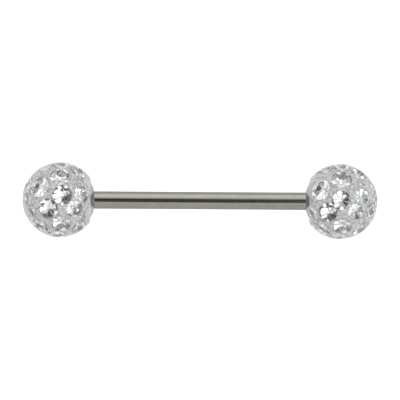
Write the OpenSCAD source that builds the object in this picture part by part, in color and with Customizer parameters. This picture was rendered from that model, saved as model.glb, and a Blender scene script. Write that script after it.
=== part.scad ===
// A straight steel tongue barbell with two crystal-paved balls under clear resin.
// The bar lies along X, the surface it rests on is z = 0, and Y points up the picture.

/* [Bar] */
// Bare length of bar between the two hubs
grip_len = 19; // [10:0.5:40]
// Diameter of the bar
bar_d = 1.6; // [1.2:0.1:1.8]
// Length of bar inside each ball, from the hub's face to the bar's end
thread_len = 3; // [2.4:0.1:3.4]
// Distance from one thread crest to the next
thread_pitch = 0.35; // [0.25:0.05:0.5]
// Depth of the thread
thread_depth = 0.18; // [0.1:0.02:0.26]
// Plain stretch of bar in the hub's mouth, before the thread
lead_len = 0.3; // [0.1:0.05:0.6]
// Chamfer on the bar's two ends
end_chamfer = 0.15; // [0.05:0.05:0.3]

/* [Hub] */
// Radius of the hub's domed face, about the ball's centre
hub_face_r = 3.2; // [3:0.05:3.3]
// Diameter of the hub's collar, which shows round the bar
collar_d = 3.2; // [2.8:0.1:3.6]
// Depth of the collar behind its rim
collar_t = 0.2; // [0.1:0.05:0.4]
// Wall of the hub's barrel round the bore
barrel_wall = 0.34; // [0.25:0.01:0.45]
// Steel left past the end of the blind bore
bore_floor = 0.35; // [0.2:0.05:0.6]
// Room between the bar's end and the bottom of the bore
end_room = 0.15; // [0.05:0.05:0.3]
// Radial clearance of the bar in the bore
bore_clear = 0.03; // [0.02:0.01:0.06]

/* [Ball] */
// Diameter of the ball over its clear coat
ball_d = 6.8; // [6.6:0.05:7.6]
// Clear coat over the grey resin
coat_t = 0.2; // [0.16:0.01:0.24]
// Clear coat over the table of each stone
film_t = 0.05; // [0.05:0.01:0.1]
// Radius of the flat that a full-size stone's table leaves on the coat
flat_r = 0.6; // [0.3:0.05:0.65]
// Radius of the coat's round shoulder beside the hub
shoulder_r = 0.55; // [0.3:0.05:0.7]
// Gap between two pieces of the ball
seat_gap = 0.02; // [0.02:0.01:0.04]
// Turn of the right ball's stones about the bar
right_turn = 2; // [0:0.5:8]

/* [Stones] */
// Diameter of a full-size stone
stone_d = 1.68; // [1.3:0.02:1.7]
// Diameter of the table as a share of the stone's
table_share = 0.56; // [0.45:0.01:0.6]
// Slope of the crown, in degrees
crown_angle = 23; // [22:1:32]
// Slope of the pavilion, in degrees
pavilion_angle = 42; // [38:1:46]
// Height of the girdle
girdle_t = 0.05; // [0.02:0.01:0.08]
// Least gap between two stones
stone_gap = 0.1; // [0.1:0.01:0.2]

/* [Hidden] */
$fn = 64;

// The side of a ball on which its hub faces the bar
LEFT = 1;
RIGHT = -1;
past = 1; // how far a cutting shape runs past what it cuts

bar_r = bar_d / 2;
bore_r = bar_r + bore_clear;
collar_r = collar_d / 2;
barrel_r = bore_r + barrel_wall;
ball_r = ball_d / 2;
core_r = ball_r - coat_t;
stone_r = stone_d / 2;

// Places along the bar, measured from a ball's centre
mouth_x = sqrt(pow(hub_face_r, 2) - pow(bore_r, 2));
rim_x = sqrt(pow(hub_face_r, 2) - pow(collar_r, 2));
bore_end_x = mouth_x - thread_len - end_room;
barrel_end_x = bore_end_x - bore_floor;
ball_x = grip_len / 2 + mouth_x;

// Heights above a ball's centre, along a stone's axis
flat_h = sqrt(pow(ball_r, 2) - pow(flat_r, 2));
table_h = flat_h - film_t - seat_gap;

// Main stones of the side that faces up, placed by hand: degrees from straight up, heading
// counted from +X, turn of the stone on its own axis, and size as a share of stone_d
face_stones = [
    [  9,   57,  10, 0.97],
    [ 23,  217,  20, 0.98],
    [ 29,  330,   0, 0.81],
    [ 40,   88,  15, 0.96],
    [ 41,  148,   5, 0.98],
    [ 39,   15,  30, 0.81],
    [ 43,  274,  12, 0.94],
    [ 61,  234,   8, 0.83],
    [ 67,  306,  25, 0.82],
    [ 68,   56,  18, 0.89],
    [ 74,  114,  40, 0.83],
    [ 50,   43,   0, 0.37],
    [ 54,  202,   6, 0.51],
    [ 51,  321,  20, 0.38],
    [ 69,   87,  10, 0.76],
    [ 73,  267,  30, 0.94],
    [ 74,  157,  15, 0.90],
    [ 59,  179,   0, 0.60],
    [ 77,   26,  35, 0.69],
    [ 71,    4,  28, 0.59],
    [ 59,  345,  12, 0.65],
    [ 76,  329,   5, 0.60],
    [ 82,  216,  22, 0.82],
];
// The rest of the ball is filled from below, ring by ring, with full-size stones first and
// then with smaller ones where only they still fit
fill_sizes = [1, 0.72, 0.5];
fill_top = 84;
fill_step = 6;

// A placed stone is its row of the chart, then its turn about the bar, its direction from the
// ball's centre and half the angle that it takes up there
function tilt(s) = s[0];
function heading(s) = s[1];
function spin(s) = s[2];
function size(s) = s[3];
function turn(s) = s[4];
function aim(s) = s[5];
function half_angle(s) = s[6];

function direction(s) =
    let (v = [sin(tilt(s)) * cos(heading(s)), sin(tilt(s)) * sin(heading(s)), cos(tilt(s))])
    [v.x, v.y * cos(turn(s)) - v.z * sin(turn(s)), v.y * sin(turn(s)) + v.z * cos(turn(s))];
function angle_between(a, b) = acos(max(-1, min(1, a * b)));
function crown_h(size) = stone_r * size * (1 - table_share) * tan(crown_angle);
function girdle_h(size) = table_h - crown_h(size);
function reach(size) = atan(stone_r * size / girdle_h(size));
gap_angle = 2 * asin(stone_gap / 2 / table_h);
mouth_angle = asin((collar_r + 3 * seat_gap) / core_r);

function aimed(s) = concat(s, [direction(s), reach(size(s))]);
function clear_of_hub(s, side) =
    angle_between(aim(s), [side, 0, 0]) > mouth_angle + half_angle(s);
function clear_of(s, others) =
    len([
        for (o = others)
            if (angle_between(aim(s), aim(o)) < half_angle(s) + half_angle(o) + gap_angle) o
    ]) == 0;
// Each stone is set only where it clears those set before it
function set_stones(rows, i = 0, done = []) =
    i == len(rows) ? done
    : set_stones(rows, i + 1, clear_of(rows[i], done) ? concat(done, [rows[i]]) : done);

function ball_stones(side) =
    let (
        charted = [for (s = face_stones) aimed(concat(s, side == RIGHT ? right_turn : 0))],
        filling = [
            for (size = fill_sizes)
                for (tilt = [180 : -fill_step : fill_top])
                    for (heading = [0 : fill_step : 359])
                        aimed([tilt, heading, 0, size, 0])
        ]
    )
    set_stones([for (s = concat(charted, filling)) if (clear_of_hub(s, side)) s]);
LEFT_STONES = ball_stones(LEFT);
RIGHT_STONES = ball_stones(RIGHT);
function stones_of(side) = side == LEFT ? LEFT_STONES : RIGHT_STONES;

module at_ball(side) {
    translate([-side * ball_x, 0, flat_h]) children();
}

// Turns a shape made about Z so that Z points from the ball's centre to the bar
module towards_bar(side) {
    rotate([0, side * 90, 0]) children();
}

module at_stone(s) {
    rotate([turn(s), 0, 0]) rotate([0, tilt(s), heading(s)]) rotate([0, 0, spin(s)]) children();
}

// One cut stone, table up, in the ball's frame: 8 wide and 8 narrow crown facets, a girdle
// that dips between the 8 pavilion facets, and a point
module stone(size) {
    r = stone_r * size;
    side_r = r * cos(180 / 16);
    slope = tan(pavilion_angle);
    top = girdle_h(size);
    bottom = top - girdle_t;
    table = [for (k = [0 : 7]) [
        r * table_share * cos(45 * k + 22.5), r * table_share * sin(45 * k + 22.5), table_h]];
    upper = [for (k = [0 : 15]) [r * cos(22.5 * k - 11.25), r * sin(22.5 * k - 11.25), top]];
    lower = [for (k = [0 : 15]) [r * cos(22.5 * k - 11.25), r * sin(22.5 * k - 11.25), bottom]];
    dips = [for (k = [0 : 7]) [
        side_r * cos(45 * k + 22.5), side_r * sin(45 * k + 22.5),
        bottom - side_r * (1 - cos(22.5)) * slope]];
    point = [[0, 0, bottom - side_r * slope]];
    u = len(table);
    l = u + len(upper);
    d = l + len(lower);
    p = d + len(dips);
    faces = concat(
        [[for (k = [7 : -1 : 0]) k]],
        [for (k = [0 : 7]) [(k + 7) % 8, k, u + 2 * k + 1, u + 2 * k]],
        [for (k = [0 : 7]) [k, u + (2 * k + 2) % 16, u + 2 * k + 1]],
        [for (k = [0 : 7]) [u + 2 * k, u + 2 * k + 1, l + 2 * k + 1, l + 2 * k]],
        [for (k = [0 : 7])
            [u + 2 * k + 1, u + (2 * k + 2) % 16, l + (2 * k + 2) % 16, d + k, l + 2 * k + 1]],
        [for (k = [0 : 7]) [d + (k + 7) % 8, l + 2 * k, l + 2 * k + 1, d + k, p]]
    );
    polyhedron(concat(table, upper, lower, dips, point), faces);
}

// The room that the resin leaves for a stone, from its point to the open air
module stone_pit(size) {
    r = stone_r * size + seat_gap;
    bottom = girdle_h(size) - girdle_t - seat_gap;
    low = bottom - r * tan(pavilion_angle);
    rotate_extrude() polygon([[0, low], [r, bottom], [r, ball_r + past], [0, ball_r + past]]);
}

// The room that the clear coat leaves over a stone's crown
module crown_pocket(size) {
    r = stone_r * size;
    translate([0, 0, girdle_h(size)])
        cylinder(h = crown_h(size) + seat_gap, r1 = r + seat_gap, r2 = r * table_share + seat_gap);
}

// What the flat over a stone's table takes off the ball
module table_flat(size) {
    r = flat_r * size;
    translate([0, 0, sqrt(pow(ball_r, 2) - pow(r, 2))]) cylinder(h = past, r = r * 1.1);
}

// The rod with a run of thread rings at each end, as it stands before its ends are turned
// towards X
module bar() {
    half = grip_len / 2 + thread_len;
    first = grip_len / 2 + lead_len;
    crests = floor((half - first - end_chamfer) / thread_pitch);
    thread = [
        for (k = [0 : crests - 1]) each [
            [bar_r, first + k * thread_pitch],
            [bar_r - thread_depth, first + (k + 0.5) * thread_pitch],
        ]
    ];
    upper = concat(thread, [
        [bar_r, first + crests * thread_pitch],
        [bar_r, half - end_chamfer],
        [bar_r - end_chamfer, half],
        [0, half],
    ]);
    lower = [for (i = [len(upper) - 1 : -1 : 0]) [upper[i].x, -upper[i].y]];
    color("silver")
        translate([0, 0, flat_h]) rotate([0, 90, 0]) rotate_extrude() polygon(concat(lower, upper));
}

module hub(side) {
    color("lightsteelblue") at_ball(side) towards_bar(side) difference() {
        intersection() {
            sphere(hub_face_r);
            union() {
                translate([0, 0, rim_x - collar_t]) cylinder(h = past + collar_t, r = collar_r);
                translate([0, 0, barrel_end_x]) cylinder(h = rim_x - barrel_end_x, r = barrel_r);
            }
        }
        translate([0, 0, bore_end_x]) cylinder(h = thread_len + end_room + past, r = bore_r);
    }
}

module core(side) {
    color("gainsboro") at_ball(side) difference() {
        sphere(core_r);
        towards_bar(side) {
            translate([0, 0, rim_x - collar_t - seat_gap])
                cylinder(h = ball_r, r = collar_r + seat_gap);
            translate([0, 0, barrel_end_x - seat_gap])
                cylinder(h = ball_r - barrel_end_x, r = barrel_r + seat_gap);
        }
        for (s = stones_of(side)) at_stone(s) stone_pit(size(s));
    }
}

module stones(side) {
    color("whitesmoke") at_ball(side)
        for (s = stones_of(side)) at_stone(s) stone(size(s));
}

// Half the coat's outline in the plane of the bar: x is the distance from the bar's axis, and
// the shoulder is an arc that touches both the ball's outline and the level of the hub's rim
module coat_outline() {
    arc_x = rim_x - shoulder_r;
    arc_r = sqrt(pow(ball_r - shoulder_r, 2) - pow(arc_x, 2));
    far = 2 * ball_r;
    intersection() {
        circle(ball_r);
        polygon([[0, 0], [far * arc_r, far * arc_x], [far, -far], [0, -far]]);
    }
    translate([arc_r, arc_x]) circle(shoulder_r);
    polygon([[0, 0], [arc_r, arc_x], [arc_r, rim_x], [0, rim_x]]);
}

module coat(side) {
    mouth_r = collar_r + seat_gap;
    color("azure", 0.4) at_ball(side) difference() {
        towards_bar(side) rotate_extrude() difference() {
            coat_outline();
            circle(core_r + seat_gap);
            square([mouth_r, ball_r]);
            translate([-ball_d, -ball_d]) square([ball_d, 2 * ball_d]);
        }
        for (s = stones_of(side)) at_stone(s) {
            crown_pocket(size(s));
            table_flat(size(s));
        }
    }
}

bar();
hub(LEFT);  // left_hub
core(LEFT);  // left_core
stones(LEFT);  // left_stones
coat(LEFT);  // left_coat
hub(RIGHT);  // right_hub
core(RIGHT);  // right_core
stones(RIGHT);  // right_stones
coat(RIGHT);  // right_coat
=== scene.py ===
import math
import random

import bmesh
import bpy
import numpy as np
from bpy.props import FloatProperty, FloatVectorProperty, PointerProperty
from mathutils import Matrix, Vector


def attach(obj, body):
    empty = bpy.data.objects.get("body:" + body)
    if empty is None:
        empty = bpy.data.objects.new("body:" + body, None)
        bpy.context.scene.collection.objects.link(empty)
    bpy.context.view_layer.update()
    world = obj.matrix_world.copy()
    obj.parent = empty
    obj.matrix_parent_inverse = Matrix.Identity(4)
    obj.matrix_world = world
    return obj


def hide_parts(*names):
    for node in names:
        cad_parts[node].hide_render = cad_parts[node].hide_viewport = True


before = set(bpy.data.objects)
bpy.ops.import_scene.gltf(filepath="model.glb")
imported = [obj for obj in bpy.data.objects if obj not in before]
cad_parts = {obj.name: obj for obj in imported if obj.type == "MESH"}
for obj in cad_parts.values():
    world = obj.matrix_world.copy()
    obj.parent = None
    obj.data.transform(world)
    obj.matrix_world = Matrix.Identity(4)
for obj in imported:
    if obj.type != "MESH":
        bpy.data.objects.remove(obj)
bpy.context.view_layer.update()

bl_info = {
    "name": "Tongue barbell dressing",
    "version": (1, 0, 0),
    "blender": (4, 5, 0),
    "location": "View3D > Sidebar > Barbell",
    "description": "Builds the visible pieces of a tongue barbell over its solids, and its studio",
    "category": "Object",
}

# Each ball's name and the side of it on which the bar is
SIDES = (("left", 1), ("right", -1))

# Stones that the photo shows well, set as listed. Headings are from +X and tilts from straight up,
# in degrees: place finds the stone, faces is where its table looks and edge the heading of a
# facet's edge. In metres, shift is how far it is moved over the ball and sink how far down.
SET_BY_HAND = {
    "left": (
        {"place": (57, 9), "faces": (22, 3.5), "edge": 34,
         "shift": (0, 0), "sink": 0.00004},
        {"place": (217, 23), "faces": (222, 11), "edge": 33,
         "shift": (0.00003, -0.00004), "sink": 0.00009},
    ),
    "right": (
        {"place": (57, 9), "faces": (57, 3), "edge": 33,
         "shift": (-0.00022, -0.00022), "sink": 0.00004},
        {"place": (217, 23), "faces": (228, 10), "edge": 35,
         "shift": (-0.00018, -0.00016), "sink": 0.00009},
    ),
}

# Corners of a stone's table and of its girdle
TABLE_CORNERS = 8
GIRDLE_CORNERS = 16
# How far off the middle a stone's point may lie, as a share of the stone's radius
POINT_WANDER = 0.06
# Angles in radians: what a stone keeps back from the middle of the gap to the next stone, and
# the most by which it is widened past its solid
KEPT_BACK = 0.004
MOST_WIDENING = 0.04
# Where the cutters of pits and hub holes end, as a share of the ball's radius
PAST_BALL = 1.05
# How many places a metre is cut into when corners at the same place are made one
PLACES_A_METRE = 1e7
# Width of the camera's sensor in millimetres
SENSOR_WIDTH = 36.0


# User settings

class BarbellSizes(bpy.types.PropertyGroup):
    """Real sizes of the barbell, as its solids have them, and what the visible stones add."""

    grip_len: FloatProperty(
        name="Grip length", description="Bare bar between the two hubs",
        default=0.019, unit="LENGTH", subtype="DISTANCE", precision=5)
    bar_d: FloatProperty(
        name="Bar diameter", description="Diameter of the bar",
        default=0.0016, unit="LENGTH", subtype="DISTANCE", precision=5)
    thread_len: FloatProperty(
        name="Thread length", description="Bar inside each ball, from the hub's face",
        default=0.003, unit="LENGTH", subtype="DISTANCE", precision=5)
    thread_pitch: FloatProperty(
        name="Thread pitch", description="Distance from crest to crest",
        default=0.00035, unit="LENGTH", subtype="DISTANCE", precision=6)
    thread_depth: FloatProperty(
        name="Thread depth", description="Depth of the thread",
        default=0.00018, unit="LENGTH", subtype="DISTANCE", precision=6)
    lead_len: FloatProperty(
        name="Lead", description="Plain bar in the hub's mouth before the thread",
        default=0.0003, unit="LENGTH", subtype="DISTANCE", precision=6)
    end_chamfer: FloatProperty(
        name="End chamfer", description="Chamfer on the bar's two ends",
        default=0.00015, unit="LENGTH", subtype="DISTANCE", precision=6)
    hub_face_r: FloatProperty(
        name="Hub face radius", description="Radius of the hub's domed face",
        default=0.0032, unit="LENGTH", subtype="DISTANCE", precision=5)
    collar_d: FloatProperty(
        name="Collar diameter", description="Diameter of the hub's collar",
        default=0.0032, unit="LENGTH", subtype="DISTANCE", precision=5)
    collar_t: FloatProperty(
        name="Collar depth", description="Depth of the collar behind its rim",
        default=0.0002, unit="LENGTH", subtype="DISTANCE", precision=6)
    barrel_wall: FloatProperty(
        name="Barrel wall", description="Wall of the hub's barrel round the bore",
        default=0.00034, unit="LENGTH", subtype="DISTANCE", precision=6)
    bore_floor: FloatProperty(
        name="Bore floor", description="Steel past the end of the blind bore",
        default=0.00035, unit="LENGTH", subtype="DISTANCE", precision=6)
    end_room: FloatProperty(
        name="End room", description="Room past the bar's end in the bore",
        default=0.00015, unit="LENGTH", subtype="DISTANCE", precision=6)
    bore_clear: FloatProperty(
        name="Bore clearance", description="Radial clearance of the bar in the bore",
        default=0.00003, unit="LENGTH", subtype="DISTANCE", precision=6)
    ball_d: FloatProperty(
        name="Ball diameter", description="Diameter over the clear coat",
        default=0.0068, unit="LENGTH", subtype="DISTANCE", precision=5)
    coat_t: FloatProperty(
        name="Coat thickness", description="Clear coat over the grey resin",
        default=0.0002, unit="LENGTH", subtype="DISTANCE", precision=6)
    flat_r: FloatProperty(
        name="Flat radius", description="Flat that a full-size stone's table leaves on the coat",
        default=0.0006, unit="LENGTH", subtype="DISTANCE", precision=5)
    shoulder_r: FloatProperty(
        name="Shoulder radius", description="Round shoulder of the coat beside the hub",
        default=0.00055, unit="LENGTH", subtype="DISTANCE", precision=6)
    seat_gap: FloatProperty(
        name="Seat gap", description="Gap between two pieces of the ball",
        default=0.00002, unit="LENGTH", subtype="DISTANCE", precision=6)
    stone_d: FloatProperty(
        name="Stone diameter", description="Diameter of a full-size stone",
        default=0.00168, unit="LENGTH", subtype="DISTANCE", precision=6)
    table_share: FloatProperty(
        name="Table share", description="Table's diameter as a share of the stone's",
        default=0.56, min=0.3, max=0.8)
    pavilion_angle: FloatProperty(
        name="Pavilion angle", description="Slope of the pavilion",
        default=math.radians(42), unit="ROTATION", subtype="ANGLE")
    rise: FloatProperty(
        name="Rise", description="How far a stone's girdle stands above its solid's",
        default=0.00005, unit="LENGTH", subtype="DISTANCE", precision=6)


class BarbellFinish(bpy.types.PropertyGroup):
    """Colours and polish of the barbell's pieces."""

    steel: FloatVectorProperty(
        name="Steel", description="Colour of the bar",
        default=(0.24, 0.236, 0.213), min=0, max=1, size=3, subtype="COLOR")
    hub_steel: FloatVectorProperty(
        name="Hub steel", description="Colour of the two hubs",
        default=(0.42, 0.42, 0.46), min=0, max=1, size=3, subtype="COLOR")
    resin: FloatVectorProperty(
        name="Resin", description="Colour of the resin between the stones",
        default=(0.79, 0.8, 0.765), min=0, max=1, size=3, subtype="COLOR")
    foil: FloatVectorProperty(
        name="Foil", description="Colour of the silvered backs of the stones",
        default=(0.9, 0.9, 0.905), min=0, max=1, size=3, subtype="COLOR")
    edge_width: FloatProperty(
        name="Edge width", description="Width of the blunted edges between two facets",
        default=0.000012, unit="LENGTH", subtype="DISTANCE", precision=6)
    flat_width: FloatProperty(
        name="Flat width", description="Width of the narrow flats between the pavilion's facets",
        default=0.00008, unit="LENGTH", subtype="DISTANCE", precision=6)
    stone_ior: FloatProperty(
        name="Stone index", description="Refractive index of a stone against the clear coat",
        default=1.06, min=1, max=1.6)
    coat_ior: FloatProperty(
        name="Coat index", description="Refractive index of the clear coat",
        default=1.5, min=1, max=2)
    veil: FloatProperty(
        name="Veil", description="Milkiness of the clear coat where it is seen at a slant",
        default=0.22, min=0, max=1)


class BarbellStudio(bpy.types.PropertyGroup):
    """Camera and light."""

    lens: FloatProperty(
        name="Lens", description="Focal length in millimetres",
        default=500.0, min=20, max=1000)
    view_width: FloatProperty(
        name="View width", description="Width of the picture at the bar",
        default=0.03597, unit="LENGTH", subtype="DISTANCE", precision=5)
    lean: FloatProperty(
        name="Lean", description="How far the camera leans towards the right ball",
        default=0.0, unit="ROTATION", subtype="ANGLE")
    rise: FloatProperty(
        name="Rise", description="How far the camera's aim lies above the bar in the picture",
        default=0.000058, unit="LENGTH", subtype="DISTANCE", precision=6)
    roll: FloatProperty(
        name="Roll", description="Turn of the camera about its own view",
        default=math.radians(0.36), unit="ROTATION", subtype="ANGLE")
    floor_glow: FloatProperty(
        name="Floor glow", description="Light that the lit table under the barbell gives",
        default=0.55, min=0, max=5)


def settings():
    """The scene's sizes, finish and studio."""
    scene = bpy.context.scene
    return scene.barbell_sizes, scene.barbell_finish, scene.barbell_studio


class Places:
    """Lengths worked out from the sizes, measured from a ball's centre along the bar."""

    def __init__(self, s):
        self.bar_r = s.bar_d / 2
        self.bore_r = self.bar_r + s.bore_clear
        self.collar_r = s.collar_d / 2
        self.barrel_r = self.bore_r + s.barrel_wall
        self.ball_r = s.ball_d / 2
        self.core_r = self.ball_r - s.coat_t
        self.mouth_x = math.sqrt(s.hub_face_r ** 2 - self.bore_r ** 2)
        self.rim_x = math.sqrt(s.hub_face_r ** 2 - self.collar_r ** 2)
        self.bore_end_x = self.mouth_x - s.thread_len - s.end_room
        self.barrel_end_x = self.bore_end_x - s.bore_floor
        self.ball_x = s.grip_len / 2 + self.mouth_x
        self.axis_z = math.sqrt(self.ball_r ** 2 - s.flat_r ** 2)

    def centre(self, side):
        """The centre of the ball whose bar is on that side of it."""
        return Vector((-side * self.ball_x, 0, self.axis_z))


# Mesh making

def new_object(name, mesh, body, nodes):
    """A piece that stands for CAD nodes and moves with a body."""
    obj = bpy.data.objects.new(name, mesh)
    bpy.context.scene.collection.objects.link(obj)
    bpy.context.view_layer.update()
    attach(obj, body)
    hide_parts(*nodes)
    return obj


def smooth(mesh, angle):
    """Smooth shading with sharp edges over an angle in degrees."""
    mesh.shade_smooth()
    mesh.set_sharp_from_angle(angle=math.radians(angle))


def grid_mesh(name, rings, start=None, end=None):
    """A skin over rings of points, closed by a point at each end where one is given."""
    count, steps, _ = rings.shape
    points = [rings.reshape(-1, 3)]
    quads = []
    for i in range(count - 1):
        a = i * steps + np.arange(steps)
        b = i * steps + (np.arange(steps) + 1) % steps
        quads.append(np.stack([a, b, b + steps, a + steps], 1))
    faces = np.concatenate(quads).tolist()
    total = count * steps
    for point, ring in ((start, 0), (end, count - 1)):
        if point is None:
            continue
        points.append(np.array([point]))
        a = ring * steps + np.arange(steps)
        b = ring * steps + (np.arange(steps) + 1) % steps
        for p, q in zip(a.tolist(), b.tolist()):
            faces.append([total, q, p] if ring == 0 else [total, p, q])
        total += 1
    mesh = bpy.data.meshes.new(name)
    mesh.from_pydata(np.concatenate(points).tolist(), [], faces)
    bm = bmesh.new()
    bm.from_mesh(mesh)
    bmesh.ops.recalc_face_normals(bm, faces=bm.faces)
    bm.to_mesh(mesh)
    bm.free()
    mesh.validate()
    return mesh


def rounded(profile, radius, steps=4):
    """The profile's corners turned into small arcs. A corner may hold its own radius third."""
    most = 0.45  # the share of a side that an arc may take up
    out = [profile[0][:2]]
    for i in range(1, len(profile) - 1):
        p = Vector(profile[i][:2])
        r = profile[i][2] if len(profile[i]) > 2 else radius
        a, b = Vector(profile[i - 1][:2]) - p, Vector(profile[i + 1][:2]) - p
        cut = min(r, a.length * most, b.length * most)
        a, b = p + a.normalized() * cut, p + b.normalized() * cut
        for k in range(steps + 1):
            t = k / steps
            out.append(tuple(a.lerp(p, t).lerp(p.lerp(b, t), t)))
    out.append(profile[-1][:2])
    return out


def revolve(name, profile, steps):
    """Turns a profile of (along X, radius) about X, closed where it reaches the axis."""
    angles = np.arange(steps) * 2 * math.pi / steps
    rings = [
        np.stack([np.full(steps, x), r * np.cos(angles), r * np.sin(angles)], 1)
        for x, r in profile if r > 0
    ]
    ends = [(x, 0.0, 0.0) for x, r in (profile[0], profile[-1]) if r <= 0]
    return grid_mesh(name, np.array(rings), *ends)


def place(mesh, centre, side):
    """Sets a mesh made round the origin, with +X towards the bar, into the row frame."""
    turn = Matrix.Identity(4) if side == 1 else Matrix.Rotation(math.pi, 4, "Z")
    mesh.transform(Matrix.Translation(centre) @ turn)


# Stones, read from where the solids have them

def toward(heading, tilt):
    """The direction with a heading from +X and a tilt from straight up, in degrees."""
    h, t = math.radians(heading), math.radians(tilt)
    return (math.sin(t) * math.cos(h), math.sin(t) * math.sin(h), math.cos(t))


class Seat:
    """Where one stone sits: its axis, its turn, its size and the heights of its levels above
    the ball's centre. low_h, the height of its point, is set when the stones are spread."""

    def __init__(self, points, centre, s):
        rim_share = 0.995  # corners this far out or farther are the girdle's
        rel = points - centre
        axis = rel.mean(0)
        self.axis = axis / np.linalg.norm(axis)
        heights = rel @ self.axis
        off = rel - np.outer(heights, self.axis)
        radii = np.linalg.norm(off, axis=1)
        top = np.argsort(-heights)[:TABLE_CORNERS]
        self.table_h = float(heights[top].mean())
        self.size = float(radii[top].mean() / (s.stone_d / 2 * s.table_share))
        self.radius = float(radii.max())
        corner = off[top[0]] / radii[top[0]]
        self.turn = Matrix((
            Vector(corner), Vector(np.cross(self.axis, corner)), Vector(self.axis))).transposed()
        ring = radii > self.radius * rim_share
        self.girdle_h = float(heights[ring].max())
        self.belt_h = float(np.sort(heights[ring])[:GIRDLE_CORNERS].mean())
        self.point = (0.0, 0.0)
        self.sink = 0.0

    def set_by_hand(self, row):
        """Moves, leans and turns the stone as its row says."""
        place = Vector(self.axis)
        east = (Vector((1, 0, 0)) - place * place.x).normalized()
        place = place * self.girdle_h + east * row["shift"][0] + place.cross(east) * row["shift"][1]
        self.axis = np.array(place.normalized())
        faces = Vector(toward(*row["faces"]))
        east = (Vector((1, 0, 0)) - faces * faces.x).normalized()
        turn = math.radians(row["edge"])
        edge = east * math.cos(turn) + faces.cross(east) * math.sin(turn)
        self.turn = Matrix((edge, faces.cross(edge), faces)).transposed()
        self.sink = row["sink"]

    def stand(self, centre):
        """The matrix that takes a stone made upright over a ball's centre to its seat."""
        middle = Vector(centre) + Vector(self.axis) * (self.girdle_h - self.sink)
        return (Matrix.Translation(middle) @ self.turn.to_4x4()
                @ Matrix.Translation((0, 0, -self.girdle_h)))


def seats(side_name, centre, s):
    """The seats of all stones of a ball, from its node's mesh, in a fixed order."""
    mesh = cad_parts[side_name + "_stones"].data
    points = np.empty(len(mesh.vertices) * 3)
    mesh.vertices.foreach_get("co", points)
    points = points.reshape(-1, 3)
    cells = np.round(points * PLACES_A_METRE).astype(np.int64)
    keys, same = np.unique(cells, axis=0, return_inverse=True)
    same = same.ravel()
    group = np.arange(len(keys))
    edges = np.array([e.vertices[:] for e in mesh.edges])
    a, b = same[edges[:, 0]], same[edges[:, 1]]
    while True:
        low = np.minimum(group[a], group[b])
        before = group.copy()
        np.minimum.at(group, a, low)
        np.minimum.at(group, b, low)
        group = group[group]
        if (group == before).all():
            break
    centre = np.array(centre)
    found = [Seat(keys[group == g] / PLACES_A_METRE, centre, s) for g in np.unique(group)]
    found.sort(key=lambda x: tuple(np.round(x.axis, 4)))
    rnd = random.Random(side_name)
    for seat in found:
        seat.point = tuple(rnd.uniform(-POINT_WANDER, POINT_WANDER) for _ in range(2))
    for row in SET_BY_HAND[side_name]:
        aim = np.array(toward(*row["place"]))
        max(found, key=lambda seat: seat.axis @ aim).set_by_hand(row)
    spread(found, s)
    return found


def spread(found, s):
    """Lets each stone take up most of the room that its solid leaves to the next."""
    itself = 9.0  # an angle past any other, so that no stone is its own neighbour
    axes = np.array([seat.axis for seat in found])
    half = np.array([math.atan2(seat.radius, seat.girdle_h) for seat in found])
    apart = np.arccos(np.clip(axes @ axes.T, -1, 1)) + np.eye(len(found)) * itself
    room = (apart - half[:, None] - half[None, :]).min(1) / 2
    for seat, angle, free in zip(found, half, room):
        seat.girdle_h += s.rise
        seat.belt_h += s.rise
        seat.radius = seat.girdle_h * math.tan(angle + min(free - KEPT_BACK, MOST_WIDENING))
        seat.low_h = seat.belt_h - seat.radius * math.tan(s.pavilion_angle)


# Shading

def new_material(name):
    """A material, its node tree and its shader."""
    material = bpy.data.materials.new(name)
    material.use_nodes = True
    tree = material.node_tree
    shader = next(n for n in tree.nodes if n.type == "BSDF_PRINCIPLED")
    return material, tree, shader


def new_group(name, inputs, outputs):
    """An empty shader node group with named sockets: (name, kind, default) and (name, kind)."""
    tree = bpy.data.node_groups.new(name, "ShaderNodeTree")
    for label, kind, default in inputs:
        socket = tree.interface.new_socket(label, in_out="INPUT", socket_type=kind)
        if default is not None:
            socket.default_value = default
    for label, kind in outputs:
        tree.interface.new_socket(label, in_out="OUTPUT", socket_type=kind)
    return tree, tree.nodes.new("NodeGroupInput"), tree.nodes.new("NodeGroupOutput")


def wire(tree, *pairs):
    """Links each output to the input that it is paired with."""
    for out, into in pairs:
        tree.links.new(out, into)


def add(tree, kind, **values):
    """A node with its settings, and its inputs by name or number where the key is inputs."""
    node = tree.nodes.new(kind)
    for socket, value in values.pop("inputs", {}).items():
        node.inputs[socket].default_value = value
    for key, value in values.items():
        setattr(node, key, value)
    return node


def maths(tree, operation, a, b=None, clamp=False):
    """The result of a sum on two numbers or sockets."""
    node = add(tree, "ShaderNodeMath", operation=operation, use_clamp=clamp)
    for socket, value in zip(node.inputs, (a, b)):
        if value is None:
            continue
        if isinstance(value, (int, float)):
            socket.default_value = value
        else:
            tree.links.new(value, socket)
    return node.outputs[0]


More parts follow.
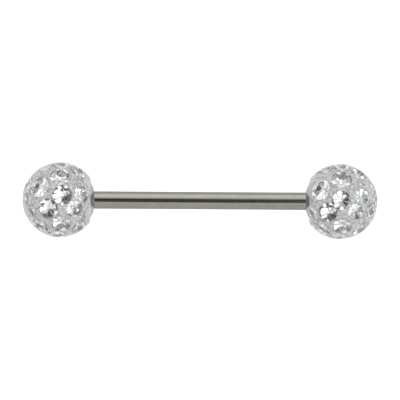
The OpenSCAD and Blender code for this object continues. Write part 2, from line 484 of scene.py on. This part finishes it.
def fine_lines():
    """Fine lines along the bar or round it, as drawing, turning and polishing leave them, over a
    soft tone. Along and Across say how fine the pattern is along X and across it."""
    rough_share = 0.4
    tree, given, result = new_group(
        "Fine lines",
        [("Vector", "NodeSocketVector", None), ("Along", "NodeSocketFloat", 100.0),
         ("Across", "NodeSocketFloat", 9000.0), ("Spread", "NodeSocketFloat", 0.1),
         ("Least roughness", "NodeSocketFloat", 0.1)],
        [("Tone", "NodeSocketFloat"), ("Roughness", "NodeSocketFloat"),
         ("Height", "NodeSocketFloat")])
    stretch = add(tree, "ShaderNodeCombineXYZ")
    scaled = add(tree, "ShaderNodeVectorMath", operation="MULTIPLY")
    fine = add(tree, "ShaderNodeTexNoise", inputs={"Scale": 1.0, "Detail": 2.0})
    broad = add(tree, "ShaderNodeTexNoise", inputs={"Scale": 1400.0, "Detail": 3.0})
    swing = maths(tree, "SUBTRACT", broad.outputs["Fac"], 0.5)
    swing = maths(tree, "MULTIPLY", swing, given.outputs["Spread"])
    lines = maths(tree, "SUBTRACT", fine.outputs["Fac"], 0.5)
    lines = maths(tree, "MULTIPLY", lines, given.outputs["Spread"])
    tone = maths(tree, "ADD", maths(tree, "ADD", swing, lines), 1.0)
    rough = maths(tree, "MULTIPLY", fine.outputs["Fac"], given.outputs["Spread"])
    rough = maths(tree, "MULTIPLY", rough, rough_share)
    rough = maths(tree, "ADD", rough, given.outputs["Least roughness"])
    wire(tree,
         (given.outputs["Along"], stretch.inputs["X"]),
         (given.outputs["Across"], stretch.inputs["Y"]),
         (given.outputs["Across"], stretch.inputs["Z"]),
         (given.outputs["Vector"], scaled.inputs[0]), (stretch.outputs[0], scaled.inputs[1]),
         (scaled.outputs[0], fine.inputs["Vector"]),
         (given.outputs["Vector"], broad.inputs["Vector"]),
         (tone, result.inputs["Tone"]), (rough, result.inputs["Roughness"]),
         (fine.outputs["Fac"], result.inputs["Height"]))
    return tree


def cloudy_resin():
    """Cast resin with faint clouds, tiny specks and a low orange-peel relief."""
    tree, given, result = new_group(
        "Cloudy resin",
        [("Vector", "NodeSocketVector", None), ("Base", "NodeSocketColor", (0.6, 0.6, 0.6, 1)),
         ("Shade", "NodeSocketColor", (0.4, 0.4, 0.4, 1))],
        [("Color", "NodeSocketColor"), ("Roughness", "NodeSocketFloat"),
         ("Height", "NodeSocketFloat")])
    clouds = add(tree, "ShaderNodeTexNoise",
                 inputs={"Scale": 4200.0, "Detail": 4.0, "Roughness": 0.65})
    specks = add(tree, "ShaderNodeTexVoronoi", inputs={"Scale": 9000.0, "Randomness": 1.0})
    dots = add(tree, "ShaderNodeMapRange",
               inputs={"From Min": 0.16, "From Max": 0.05, "To Max": 0.35})
    wave = add(tree, "ShaderNodeMapRange",
               inputs={"From Min": 0.42, "From Max": 0.62, "To Max": 0.9})
    share = maths(tree, "ADD", wave.outputs[0], dots.outputs[0], clamp=True)
    mix = add(tree, "ShaderNodeMix", data_type="RGBA")
    rough = maths(tree, "ADD", maths(tree, "MULTIPLY", clouds.outputs["Fac"], 0.2), 0.45)
    wire(tree,
         (given.outputs["Vector"], clouds.inputs["Vector"]),
         (given.outputs["Vector"], specks.inputs["Vector"]),
         (clouds.outputs["Fac"], wave.inputs["Value"]),
         (specks.outputs["Distance"], dots.inputs["Value"]),
         (share, mix.inputs["Factor"]), (given.outputs["Base"], mix.inputs["A"]),
         (given.outputs["Shade"], mix.inputs["B"]), (mix.outputs["Result"], result.inputs["Color"]),
         (rough, result.inputs["Roughness"]), (clouds.outputs["Fac"], result.inputs["Height"]))
    return tree


def handling_haze():
    """Faint smudges and a shallow waviness, as a cast and handled clear skin has."""
    tree, given, result = new_group(
        "Handling haze",
        [("Vector", "NodeSocketVector", None), ("Least", "NodeSocketFloat", 0.0),
         ("Most", "NodeSocketFloat", 0.06)],
        [("Roughness", "NodeSocketFloat"), ("Height", "NodeSocketFloat")])
    smudge = add(tree, "ShaderNodeTexNoise", inputs={"Scale": 900.0, "Detail": 5.0})
    wave = add(tree, "ShaderNodeTexNoise", inputs={"Scale": 700.0, "Detail": 1.0})
    level = add(tree, "ShaderNodeMapRange", inputs={"From Min": 0.5, "From Max": 0.8})
    wire(tree,
         (given.outputs["Vector"], smudge.inputs["Vector"]),
         (given.outputs["Vector"], wave.inputs["Vector"]),
         (smudge.outputs["Fac"], level.inputs["Value"]),
         (given.outputs["Least"], level.inputs["To Min"]),
         (given.outputs["Most"], level.inputs["To Max"]),
         (level.outputs[0], result.inputs["Roughness"]),
         (wave.outputs["Fac"], result.inputs["Height"]))
    return tree


def silvering():
    """Silvered stone back: each patch a little brighter or duller than the next."""
    tree, given, result = new_group(
        "Silvering",
        [("Vector", "NodeSocketVector", None), ("Bright", "NodeSocketColor", (0.9, 0.9, 0.9, 1)),
         ("Dull", "NodeSocketColor", (0.7, 0.7, 0.75, 1))],
        [("Color", "NodeSocketColor"), ("Roughness", "NodeSocketFloat")])
    patch = add(tree, "ShaderNodeTexNoise", inputs={"Scale": 1100.0, "Detail": 2.0})
    level = add(tree, "ShaderNodeMapRange", inputs={"From Min": 0.35, "From Max": 0.65})
    rough = maths(tree, "ADD", maths(tree, "MULTIPLY", patch.outputs["Fac"], 0.05), 0.01)
    mix = add(tree, "ShaderNodeMix", data_type="RGBA")
    wire(tree,
         (given.outputs["Vector"], patch.inputs["Vector"]),
         (patch.outputs["Fac"], level.inputs["Value"]),
         (level.outputs[0], mix.inputs["Factor"]), (given.outputs["Dull"], mix.inputs["A"]),
         (given.outputs["Bright"], mix.inputs["B"]), (mix.outputs["Result"], result.inputs["Color"]),
         (rough, result.inputs["Roughness"]))
    return tree


def effect(tree, group, **inputs):
    """A use of a shared effect in a material, on object coordinates."""
    node = add(tree, "ShaderNodeGroup")
    node.node_tree = group
    for key, value in inputs.items():
        node.inputs[key].default_value = value
    coords = add(tree, "ShaderNodeTexCoord")
    tree.links.new(coords.outputs["Object"], node.inputs["Vector"])
    return node


def bump(tree, shader, height, strength, distance):
    """Relief on a shader's surface, from a height and how deep it is at most in metres."""
    node = add(tree, "ShaderNodeBump", inputs={"Strength": strength, "Distance": distance})
    wire(tree, (height, node.inputs["Height"]), (node.outputs[0], shader.inputs["Normal"]))


def shared(name, make):
    """The shared effect of that name, made where it is asked for the first time."""
    return bpy.data.node_groups.get(name) or make()


def steel_material(name, colour, strength, **texture):
    """Steel with fine lines, whose relief is a few thousandths of a millimetre deep at most."""
    relief = 0.000004
    material, tree, shader = new_material(name)
    lines = effect(tree, shared("Fine lines", fine_lines), **texture)
    tint = add(tree, "ShaderNodeVectorMath", operation="SCALE")
    tint.inputs[0].default_value = colour
    shader.inputs["Metallic"].default_value = 1.0
    wire(tree,
         (lines.outputs["Tone"], tint.inputs["Scale"]),
         (tint.outputs[0], shader.inputs["Base Color"]),
         (lines.outputs["Roughness"], shader.inputs["Roughness"]))
    bump(tree, shader, lines.outputs["Height"], strength, relief)
    return material


# Pieces

class BARBELL_OT_bar(bpy.types.Operator):
    """Builds the steel bar with a true helical thread on each end"""
    bl_idname = "barbell.bar"
    bl_label = "Bar"

    def execute(self, context):
        s, finish, _ = settings()
        p = Places(s)
        half = s.grip_len / 2 + s.thread_len
        first = s.grip_len / 2 + s.lead_len
        steps = 96
        rings_a_pitch = 12
        run_out = s.thread_pitch * 0.7
        plain = np.linspace(0, first, 40)
        cut = np.arange(first, half - s.end_chamfer, s.thread_pitch / rings_a_pitch)[1:]
        end = np.array([half - s.end_chamfer, half - s.end_chamfer * 0.5, half])
        xs = np.concatenate([plain, cut, end])
        xs = np.concatenate([-xs[:0:-1], xs])
        angle = np.arange(steps) * 2 * math.pi / steps
        x, a = np.meshgrid(xs, angle, indexing="ij")
        along = np.abs(x)
        saw = np.abs(((along / s.thread_pitch + np.sign(x) * a / (2 * math.pi)) % 1) * 2 - 1)
        fade = np.clip((along - first) / run_out, 0, 1)
        fade *= np.clip((half - s.end_chamfer * 0.4 - along) / run_out, 0, 1)
        # the saw is clipped above and below, which leaves narrow flats on crests and in roots
        crest = np.clip(saw * 1.25 - 0.12, 0, 1)
        radius = p.bar_r - s.thread_depth * fade * (1 - crest)
        radius = np.minimum(radius, p.bar_r - np.clip(along - (half - s.end_chamfer), 0, 1))
        rings = np.stack([x, radius * np.cos(a), radius * np.sin(a)], 2)
        mesh = grid_mesh("bar_steel", rings, (-half, 0, 0), (half, 0, 0))
        mesh.transform(Matrix.Translation((0, 0, p.axis_z)))
        smooth(mesh, 40)
        new_object("bar_steel", mesh, "bar", ["bar"])
        material = steel_material(
            "polished_steel", finish.steel, 0.12,
            **{"Along": 90.0, "Across": 11000.0, "Spread": 0.2, "Least roughness": 0.04})
        mesh.materials.append(material)
        return {"FINISHED"}


class BARBELL_OT_hubs(bpy.types.Operator):
    """Builds the satin steel hub in each ball"""
    bl_idname = "barbell.hubs"
    bl_label = "Hubs"

    def execute(self, context):
        s, finish, _ = settings()
        p = Places(s)
        material = steel_material(
            "satin_steel", finish.hub_steel, 0.3,
            **{"Along": 30000.0, "Across": 900.0, "Spread": 0.15, "Least roughness": 0.15})
        mouth_round, rim_round, edge_round = 0.00006, 0.00007, 0.00003
        inner = math.asin(p.bore_r / s.hub_face_r)
        outer = math.asin(p.collar_r / s.hub_face_r)
        dome = [(s.hub_face_r * math.cos(a), s.hub_face_r * math.sin(a), 0.0)
                for a in np.linspace(inner, outer, 24)]
        dome[0] = (*dome[0][:2], mouth_round)
        dome[-1] = (*dome[-1][:2], rim_round)
        profile = [
            (p.bore_end_x, 0.0), (p.bore_end_x, p.bore_r), *dome,
            (p.rim_x - s.collar_t, p.collar_r), (p.rim_x - s.collar_t, p.barrel_r),
            (p.barrel_end_x, p.barrel_r), (p.barrel_end_x, 0.0),
        ]
        for name, side in SIDES:
            mesh = revolve(name + "_hub_steel", rounded(profile, edge_round), 160)
            place(mesh, p.centre(side), side)
            smooth(mesh, 35)
            mesh.materials.append(material)
            new_object(name + "_hub_steel", mesh, name + "_ball", [name + "_hub"])
        return {"FINISHED"}


class BARBELL_OT_cores(bpy.types.Operator):
    """Builds the grey resin ball with a pit for each stone"""
    bl_idname = "barbell.cores"
    bl_label = "Resin cores"

    def execute(self, context):
        s, finish, _ = settings()
        p = Places(s)
        shade = 0.45  # how much of the resin's colour is left in its darkest clouds
        material, tree, shader = new_material("grey_resin")
        resin = effect(tree, shared("Cloudy resin", cloudy_resin),
                       Base=(*finish.resin, 1), Shade=(*[c * shade for c in finish.resin], 1))
        wire(tree, (resin.outputs["Color"], shader.inputs["Base Color"]),
             (resin.outputs["Roughness"], shader.inputs["Roughness"]))
        bump(tree, shader, resin.outputs["Height"], 0.4, 0.00003)
        for name, side in SIDES:
            centre = p.centre(side)
            ball = bmesh.new()
            bmesh.ops.create_uvsphere(ball, u_segments=192, v_segments=96, radius=p.core_r)
            mesh = bpy.data.meshes.new(name + "_core_resin")
            ball.to_mesh(mesh)
            ball.free()
            mesh.transform(Matrix.Translation(centre))
            cutter = bpy.data.meshes.new("pits")
            cuts = bmesh.new()
            for seat in seats(name, centre, s):
                self.pit(cuts, seat, centre, s, p)
            self.hub_hole(cuts, centre, side, s, p)
            cuts.to_mesh(cutter)
            cuts.free()
            obj = new_object(name + "_core_resin", mesh, name + "_ball", [name + "_core"])
            self.carve(obj, cutter)
            smooth(obj.data, 30)
            obj.data.materials.clear()
            obj.data.materials.append(material)
        return {"FINISHED"}

    @staticmethod
    def pit(bm, seat, centre, s, p):
        """The room for one stone, from under its point to the open air."""
        r = seat.radius + s.seat_gap * 0.3
        dip = seat.radius * (1 - math.cos(math.pi / TABLE_CORNERS)) * math.tan(s.pavilion_angle)
        low = seat.belt_h - s.seat_gap - dip
        turn = seat.stand(centre)
        steps = 48
        ways = [2 * math.pi * k / steps for k in range(steps)]
        rings = [
            [bm.verts.new(turn @ Vector((r * math.cos(a), r * math.sin(a), h))) for a in ways]
            for h in (low, p.ball_r * PAST_BALL)
        ]
        x, y = seat.point
        tip = bm.verts.new(turn @ Vector((r * x, r * y, seat.low_h - s.seat_gap * 2)))
        for k in range(steps):
            q = (k + 1) % steps
            bm.faces.new((rings[0][k], rings[0][q], rings[1][q], rings[1][k]))
            bm.faces.new((tip, rings[0][q], rings[0][k]))
        bm.faces.new(rings[1])

    @staticmethod
    def hub_hole(bm, centre, side, s, p):
        """The room for the hub's barrel and collar."""
        end_x = p.barrel_end_x - s.seat_gap
        step_x = p.rim_x - s.collar_t - s.seat_gap
        out_x = p.ball_r * PAST_BALL
        profile = [
            (end_x, 0.0), (end_x, p.barrel_r + s.seat_gap), (step_x, p.barrel_r + s.seat_gap),
            (step_x, p.collar_r + s.seat_gap), (out_x, p.collar_r + s.seat_gap), (out_x, 0.0),
        ]
        mesh = revolve("hole", profile, 96)
        place(mesh, centre, side)
        bm.from_mesh(mesh)
        bpy.data.meshes.remove(mesh)

    @staticmethod
    def carve(obj, cutter):
        """Cuts the rooms out of the resin ball, and stops the script where that failed."""
        before = len(obj.data.polygons)
        tool = bpy.data.objects.new("pits", cutter)
        bpy.context.scene.collection.objects.link(tool)
        cut = obj.modifiers.new("pits", "BOOLEAN")
        cut.operation = "DIFFERENCE"
        cut.solver = "MANIFOLD"
        cut.object = tool
        bpy.context.view_layer.update()
        graph = bpy.context.evaluated_depsgraph_get()
        done = bpy.data.meshes.new_from_object(obj.evaluated_get(graph))
        obj.modifiers.clear()
        old = obj.data
        name = old.name
        obj.data = done
        bpy.data.meshes.remove(old)
        done.name = name
        bpy.data.objects.remove(tool)
        bpy.data.meshes.remove(cutter)
        if len(done.polygons) in (0, before):
            raise RuntimeError("the pits were not cut into " + obj.name)


class BARBELL_OT_stones(bpy.types.Operator):
    """Builds the cut stones: clear crowns over silvered pavilions, every edge a little blunt"""
    bl_idname = "barbell.stones"
    bl_label = "Cut stones"

    def execute(self, context):
        s, finish, _ = settings()
        p = Places(s)
        bright, dull = (1.04, 1.03, 0.99), (0.88, 0.90, 0.96)
        clear, tree, shader = new_material("stone_crown")
        shader.inputs["Base Color"].default_value = (0.99, 0.99, 1.0, 1)
        shader.inputs["Transmission Weight"].default_value = 1.0
        shader.inputs["IOR"].default_value = finish.stone_ior
        haze = effect(tree, shared("Handling haze", handling_haze), Most=0.02)
        wire(tree, (haze.outputs["Roughness"], shader.inputs["Roughness"]))
        foil, tree, shader = new_material("silvered_back")
        shader.inputs["Metallic"].default_value = 1.0
        silver = effect(tree, shared("Silvering", silvering),
                        Bright=(*[c * k for c, k in zip(finish.foil, bright)], 1),
                        Dull=(*[c * k for c, k in zip(finish.foil, dull)], 1))
        wire(tree, (silver.outputs["Color"], shader.inputs["Base Color"]),
             (silver.outputs["Roughness"], shader.inputs["Roughness"]))
        for name, side in SIDES:
            centre = p.centre(side)
            bm = bmesh.new()
            for seat in seats(name, centre, s):
                self.stone(bm, seat, centre, s, finish)
            mesh = bpy.data.meshes.new(name + "_cut_stones")
            bm.to_mesh(mesh)
            bm.free()
            mesh.materials.append(clear)
            mesh.materials.append(foil)
            new_object(name + "_cut_stones", mesh, name + "_ball", [name + "_stones"])
        return {"FINISHED"}

    @staticmethod
    def stone(bm, seat, centre, s, finish):
        """One stone in its seat: a table, 8 wide and 16 narrow crown facets, a girdle and a
        silvered pavilion of 8 facets that meet in a point, with a narrow flat along each edge."""
        r = seat.radius
        eighth = 2 * math.pi / TABLE_CORNERS
        dip = r * (1 - math.cos(eighth / 2)) * math.tan(s.pavilion_angle)

        def ring(radius, heights):
            count = len(heights)
            return [one.verts.new((radius * math.cos(k * 2 * math.pi / count),
                                   radius * math.sin(k * 2 * math.pi / count), h))
                    for k, h in enumerate(heights)]

        one = bmesh.new()
        table = ring(r * s.table_share, [seat.table_h] * TABLE_CORNERS)
        upper = ring(r, [seat.girdle_h] * GIRDLE_CORNERS)
        # the facets stay flat where the point is off the middle
        x, y = seat.point
        lift = [1 / (1 - (x * math.cos(a) + y * math.sin(a)) / math.cos(eighth / 2))
                for a in (eighth * (k + 0.5) for k in range(TABLE_CORNERS))]
        floor = seat.belt_h - dip
        lower = ring(r, [h for up in lift for h in (floor, floor + dip * up)])
        tip = one.verts.new((r * x, r * y, seat.low_h))
        one.faces.new(table)
        back = []
        for k in range(TABLE_CORNERS):
            after = (2 * k + 2) % GIRDLE_CORNERS
            a, b, c = upper[2 * k], upper[2 * k + 1], upper[after]
            d, e, f = lower[2 * k], lower[2 * k + 1], lower[after]
            following = table[(k + 1) % TABLE_CORNERS]
            one.faces.new((table[k], a, b))
            one.faces.new((table[k], b, following))
            one.faces.new((following, b, c))
            one.faces.new((a, d, e, b))
            one.faces.new((b, e, f, c))
            back.append(one.faces.new((d, tip, f, e)))
        for face in back:
            face.material_index = 1
        flats = [edge for edge in one.edges if tip in edge.verts]
        bmesh.ops.bevel(one, geom=flats, offset=finish.flat_width, offset_type="WIDTH",
                        segments=1, affect="EDGES", clamp_overlap=True, material=1)
        blunt = [edge for edge in one.edges if not edge.is_boundary]
        bmesh.ops.bevel(one, geom=blunt, offset=finish.edge_width, offset_type="OFFSET",
                        segments=2, profile=0.5, affect="EDGES", clamp_overlap=True)
        bmesh.ops.recalc_face_normals(one, faces=one.faces)
        one.transform(seat.stand(centre))
        mesh = bpy.data.meshes.new("one")
        one.to_mesh(mesh)
        one.free()
        bm.from_mesh(mesh)
        bpy.data.meshes.remove(mesh)


class BARBELL_OT_coats(bpy.types.Operator):
    """Builds the clear coat, which wets the stones and the resin"""
    bl_idname = "barbell.coats"
    bl_label = "Clear coats"

    def execute(self, context):
        s, finish, _ = settings()
        p = Places(s)
        material, tree, shader = new_material("clear_resin")
        shader.inputs["Base Color"].default_value = (0.985, 0.99, 0.985, 1)
        shader.inputs["Transmission Weight"].default_value = 1.0
        shader.inputs["IOR"].default_value = finish.coat_ior
        shader.inputs["Sheen Weight"].default_value = finish.veil
        shader.inputs["Sheen Roughness"].default_value = 0.6
        haze = effect(tree, shared("Handling haze", handling_haze), Most=0.03)
        wire(tree, (haze.outputs["Roughness"], shader.inputs["Roughness"]))
        bump(tree, shader, haze.outputs["Height"], 0.3, 0.00004)
        for name, side in SIDES:
            mesh = self.skin(name + "_clear_coat", seats(name, p.centre(side), s), side, s, p)
            mesh.transform(Matrix.Translation(p.centre(side)))
            mesh.shade_smooth()
            mesh.materials.append(material)
            new_object(name + "_clear_coat", mesh, name + "_ball", [name + "_coat"])
        return {"FINISHED"}

    @staticmethod
    def skin(name, stones, side, s, p):
        """Outer ball with a flat over each table and a shoulder round the hub, then the wall
        of the hub's hole and a hollow that lies inside the resin."""
        inset = 0.000004  # how far the skin lies inside its solid's
        soft = 0.000012  # over how much depth a flat blends into the ball
        hollow = 0.0019  # radius of the hollow
        facing_it = 0.8  # cosine below which a direction is too far off to meet the flat
        mouth = p.collar_r + s.seat_gap
        arc = (p.rim_x - s.shoulder_r, 0.0)
        arc = (arc[0], math.sqrt((p.ball_r - s.shoulder_r) ** 2 - arc[0] ** 2))
        lip = math.atan2(mouth, p.rim_x)
        flat_end = math.atan2(arc[1], p.rim_x)
        arc_end = math.atan2(arc[1], arc[0])
        tilts = np.concatenate([
            np.linspace(lip, flat_end, 4), np.linspace(flat_end, arc_end, 14)[1:],
            np.linspace(arc_end, math.pi, 150)[1:-1]])
        steps = 320
        turn = np.arange(steps) * 2 * math.pi / steps
        tilt, around = np.meshgrid(tilts, turn, indexing="ij")
        ways = np.stack([
            side * np.cos(tilt), np.sin(tilt) * np.cos(around), np.sin(tilt) * np.sin(around)], 2)
        radius = np.full(tilt.shape, p.ball_r - inset)
        for stone in stones:
            flat = s.flat_r * stone.size
            height = math.sqrt(p.ball_r ** 2 - flat ** 2)
            facing = ways @ stone.axis
            plane = np.where(facing > facing_it, height / np.maximum(facing, facing_it), 1.0)
            gap = np.clip(0.5 + 0.5 * (radius - plane) / soft, 0, 1)
            radius = radius * (1 - gap) + plane * gap - soft * gap * (1 - gap)
        dot = np.cos(tilts) * arc[0] + np.sin(tilts) * arc[1]
        inside = dot ** 2 - arc[0] ** 2 - arc[1] ** 2 + s.shoulder_r ** 2
        shoulder = dot + np.sqrt(np.maximum(inside, 0))
        shoulder = np.where(tilts <= flat_end, p.rim_x / np.cos(tilts), shoulder)
        near = tilts <= arc_end + 1e-9
        radius[near] = np.minimum(radius[near], shoulder[near][:, None])
        rings = list(ways * radius[..., None])
        inner = math.asin(mouth / hollow)
        wall = [(x, mouth) for x in np.linspace(p.rim_x, hollow * math.cos(inner), 8)[1:]]
        wall += [(hollow * math.cos(a), hollow * math.sin(a))
                 for a in np.linspace(inner, math.pi, 40)[1:-1]]
        for x, r in wall:
            ring = np.stack([np.full(steps, side * x), r * np.cos(turn), r * np.sin(turn)], 1)
            rings.insert(0, ring)
        pole = radius[-1].mean()
        return grid_mesh(name, np.array(rings), (-side * hollow, 0, 0), (-side * pole, 0, 0))


# Studio

def soft_panel():
    """How much of a soft panel lies in a direction: 1 inside Inner, 0 outside Outer, both as
    lengths on the unit sphere, in a panel that Squeeze makes narrow along an axis."""
    tree, given, result = new_group(
        "Soft panel",
        [("Direction", "NodeSocketVector", None), ("Aim", "NodeSocketVector", (0.0, 0.0, 1.0)),
         ("Squeeze", "NodeSocketVector", (1.0, 1.0, 1.0)),
         ("Inner", "NodeSocketFloat", 0.2), ("Outer", "NodeSocketFloat", 0.4)],
        [("Mask", "NodeSocketFloat")])
    away = add(tree, "ShaderNodeVectorMath", operation="SUBTRACT")
    squeezed = add(tree, "ShaderNodeVectorMath", operation="MULTIPLY")
    length = add(tree, "ShaderNodeVectorMath", operation="LENGTH")
    step = add(tree, "ShaderNodeMapRange", interpolation_type="SMOOTHSTEP",
               inputs={"To Min": 1.0, "To Max": 0.0})
    wire(tree,
         (given.outputs["Direction"], away.inputs[0]), (given.outputs["Aim"], away.inputs[1]),
         (away.outputs[0], squeezed.inputs[0]), (given.outputs["Squeeze"], squeezed.inputs[1]),
         (squeezed.outputs[0], length.inputs[0]), (length.outputs["Value"], step.inputs["Value"]),
         (given.outputs["Inner"], step.inputs["From Min"]),
         (given.outputs["Outer"], step.inputs["From Max"]), (step.outputs[0], result.inputs["Mask"]))
    return tree


class BARBELL_OT_stage(bpy.types.Operator):
    """Sets up the lit table, the studio's soft panels and the camera"""
    bl_idname = "barbell.stage"
    bl_label = "Stage"

    # Brightness of the studio outside its soft panels
    LEVEL = 1.2
    # Heading, tilt, inner and outer radius in degrees, how narrow it is along the bar, and
    # brightness of each soft panel, laid over each other in this order
    PANELS = (
        (90, 62, 15, 38, 1, 2.0),
        (62, 24, 8, 18, 1, 0.8),
        (-30, 27, 15, 34, 1, 2.6),
        (144, 14, 12, 18, 1, 0.03),
        (279, 11, 3, 6, 1, 0.1),
        (270, 7, 17, 26, 9, 0.13),
    )

    def execute(self, context):
        s, _, studio = settings()
        p = Places(s)
        self.world(context.scene)
        self.floor(studio)
        self.camera(context.scene, studio, p)
        view = context.scene.view_settings
        view.view_transform = "Standard"
        view.look = "None"
        return {"FINISHED"}

    def world(self, scene):
        """The studio's light: soft panels laid over an even level."""
        world = bpy.data.worlds.new("studio")
        scene.world = world
        world.use_nodes = True
        tree = world.node_tree
        background = next(n for n in tree.nodes if n.type == "BACKGROUND")
        coords = add(tree, "ShaderNodeTexCoord")
        group = shared("Soft panel", soft_panel)
        level = self.LEVEL
        for heading, tilt, inner, outer, narrow, value in self.PANELS:
            panel = add(tree, "ShaderNodeGroup")
            panel.node_tree = group
            panel.inputs["Aim"].default_value = toward(heading, tilt)
            panel.inputs["Squeeze"].default_value = (narrow, 1, 1)
            panel.inputs["Inner"].default_value = 2 * math.sin(math.radians(inner) / 2)
            panel.inputs["Outer"].default_value = 2 * math.sin(math.radians(outer) / 2)
            mix = add(tree, "ShaderNodeMix", inputs={"B": value})
            wire(tree, (coords.outputs["Generated"], panel.inputs["Direction"]),
                 (panel.outputs["Mask"], mix.inputs["Factor"]))
            if isinstance(level, float):
                mix.inputs["A"].default_value = level
            else:
                tree.links.new(level, mix.inputs["A"])
            level = mix.outputs["Result"]
        tree.links.new(level, background.inputs["Color"])
        background.inputs["Strength"].default_value = 1.0

    @staticmethod
    def floor(studio):
        """A pale table a hair under the barbell, a little brighter to the camera itself."""
        half, drop = 0.5, 0.000002
        corners = ((-half, -half), (half, -half), (half, half), (-half, half))
        mesh = bpy.data.meshes.new("table")
        mesh.from_pydata([(x, y, -drop) for x, y in corners], [], [(0, 1, 2, 3)])
        material, tree, shader = new_material("pale_table")
        shader.inputs["Base Color"].default_value = (0.82, 0.82, 0.82, 1)
        shader.inputs["Roughness"].default_value = 0.8
        shader.inputs["Specular IOR Level"].default_value = 0.1
        shader.inputs["Emission Color"].default_value = (1, 1, 1, 1)
        path = add(tree, "ShaderNodeLightPath")
        tree.links.new(maths(tree, "MULTIPLY", path.outputs["Is Camera Ray"], studio.floor_glow),
                       shader.inputs["Emission Strength"])
        mesh.materials.append(material)
        obj = bpy.data.objects.new("table", mesh)
        bpy.context.scene.collection.objects.link(obj)

    @staticmethod
    def camera(scene, studio, p):
        """The camera, straight above the bar but for its lean, its rise and its roll."""
        data = bpy.data.cameras.new("camera")
        data.lens = studio.lens
        data.sensor_width = SENSOR_WIDTH
        data.clip_start = 0.001
        obj = bpy.data.objects.new("camera", data)
        scene.collection.objects.link(obj)
        scene.camera = obj
        back = Vector((math.sin(studio.lean), 0, math.cos(studio.lean)))
        right = Vector((math.cos(studio.lean), 0, -math.sin(studio.lean)))
        right.rotate(Matrix.Rotation(studio.roll, 3, back))
        up = back.cross(right)
        turn = Matrix((right, up, back)).transposed().to_4x4()
        distance = studio.view_width * studio.lens / SENSOR_WIDTH
        aim = Vector((0, 0, p.axis_z)) + up * studio.rise
        obj.matrix_world = Matrix.Translation(aim + back * distance) @ turn


class BARBELL_PT_build(bpy.types.Panel):
    """Buttons for each group of pieces"""
    bl_label = "Tongue barbell"
    bl_idname = "BARBELL_PT_build"
    bl_space_type = "VIEW_3D"
    bl_region_type = "UI"
    bl_category = "Barbell"

    def draw(self, context):
        for operator in OPERATORS:
            self.layout.operator(operator.bl_idname)
        for group, _ in GROUPS:
            values = getattr(context.scene, group)
            box = self.layout.box()
            for name in values.__annotations__:
                box.prop(values, name)


OPERATORS = (
    BARBELL_OT_bar, BARBELL_OT_hubs, BARBELL_OT_cores,
    BARBELL_OT_stones, BARBELL_OT_coats, BARBELL_OT_stage,
)
GROUPS = (
    ("barbell_sizes", BarbellSizes),
    ("barbell_finish", BarbellFinish),
    ("barbell_studio", BarbellStudio),
)


def register():
    for name, group in GROUPS:
        bpy.utils.register_class(group)
        setattr(bpy.types.Scene, name, PointerProperty(type=group))
    for cls in (*OPERATORS, BARBELL_PT_build):
        bpy.utils.register_class(cls)


def unregister():
    for cls in reversed((*OPERATORS, BARBELL_PT_build)):
        bpy.utils.unregister_class(cls)
    for name, group in reversed(GROUPS):
        delattr(bpy.types.Scene, name)
        bpy.utils.unregister_class(group)


def plain(box):
    """A box's corners as plain lists."""
    return [[float(v) for v in corner] for corner in box]


def main():
    register()
    bpy.ops.barbell.bar()
    bpy.ops.barbell.hubs()
    bpy.ops.barbell.cores()
    bpy.ops.barbell.stones()
    bpy.ops.barbell.coats()
    bpy.ops.barbell.stage()


if __name__ == "__main__":
    main()
